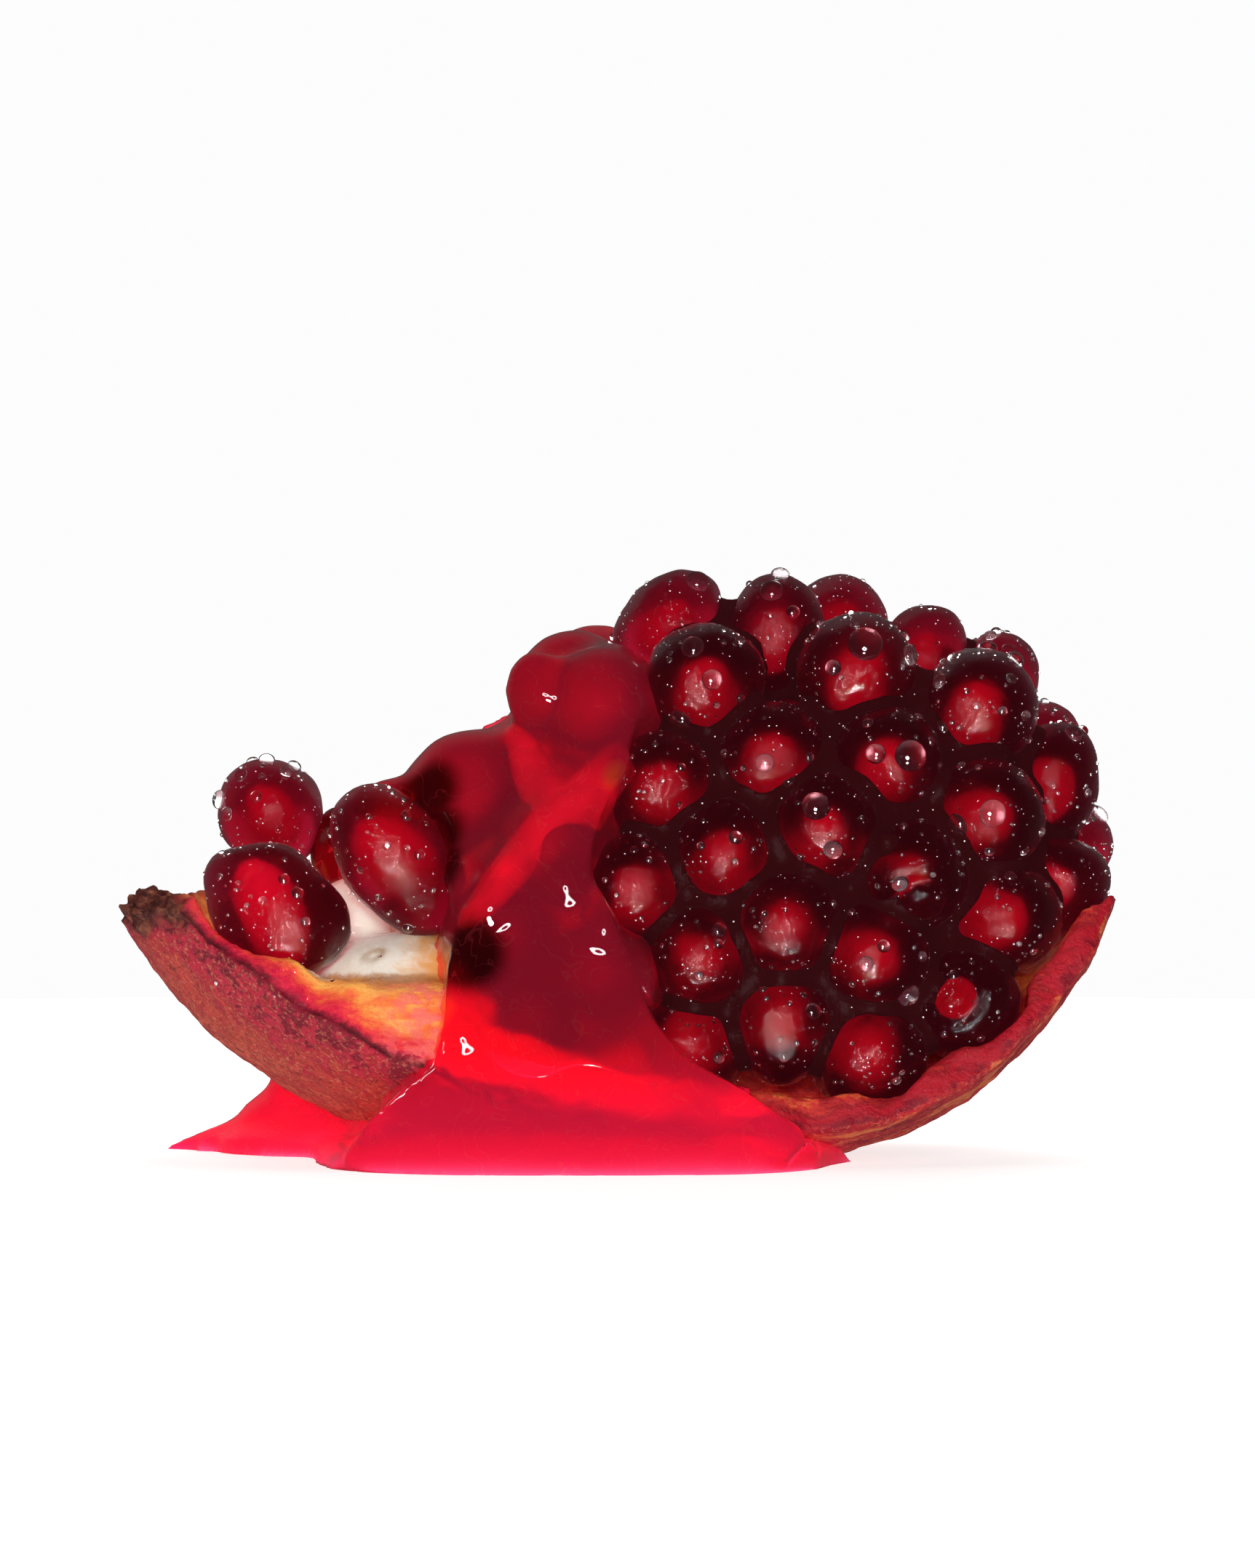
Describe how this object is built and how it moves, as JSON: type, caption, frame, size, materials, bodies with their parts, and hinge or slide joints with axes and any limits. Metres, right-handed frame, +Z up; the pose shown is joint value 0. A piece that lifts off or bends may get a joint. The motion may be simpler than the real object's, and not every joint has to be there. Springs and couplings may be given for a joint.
{
  "type": "pomegranate wedge",
  "caption": "Torn wedge of pomegranate resting on its rind, seed arils packed on cream pith, with juice syrup poured over part of them into a small pool.",
  "frame": {"origin": "on the surface the wedge rests on, under the middle of the whole object's box", "axes": "+X along the fruit's stem-to-crown line, from the ragged torn tip to the seed-filled end; -Y is the side the seeds face; +Z up"},
  "size_m": [0.0842, 0.0414, 0.0495],
  "materials": {
    "rind": "satin",
    "aril": "gloss",
    "syrup": "gloss"
  },
  "bodies": {
    "root": {"rind_with_pith": "rind", "juice_syrup": "syrup", "aril_loose_1": "aril", "aril_loose_2": "aril", "aril_loose_3": "aril", "aril_coated_1": "aril", "aril_coated_2": "aril", "aril_coated_3": "aril", "aril_coated_4": "aril", "aril_coated_5": "aril", "aril_coated_6": "aril", "aril_coated_7": "aril", "aril_coated_8": "aril", "aril_coated_9": "aril", "aril_front_1": "aril", "aril_front_2": "aril", "aril_front_3": "aril", "aril_front_4": "aril", "aril_front_5": "aril", "aril_front_6": "aril", "aril_front_7": "aril", "aril_front_8": "aril", "aril_front_9": "aril", "aril_front_10": "aril", "aril_front_11": "aril", "aril_front_12": "aril", "aril_front_13": "aril", "aril_front_14": "aril", "aril_front_15": "aril", "aril_front_16": "aril", "aril_front_17": "aril", "aril_front_18": "aril", "aril_front_19": "aril", "aril_front_20": "aril", "aril_crest_1": "aril", "aril_crest_2": "aril", "aril_crest_3": "aril", "aril_crest_4": "aril", "aril_crest_5": "aril", "aril_crest_6": "aril", "aril_crest_7": "aril", "aril_crest_8": "aril", "aril_crest_9": "aril", "aril_crest_10": "aril", "aril_crest_11": "aril", "aril_back_1": "aril", "aril_back_2": "aril", "aril_back_3": "aril", "aril_back_4": "aril", "aril_back_5": "aril", "aril_back_6": "aril", "aril_back_7": "aril", "aril_back_8": "aril", "aril_back_9": "aril", "aril_back_10": "aril", "aril_back_11": "aril", "aril_back_12": "aril", "aril_back_13": "aril", "aril_back_14": "aril"}
  },
  "joints": []
}
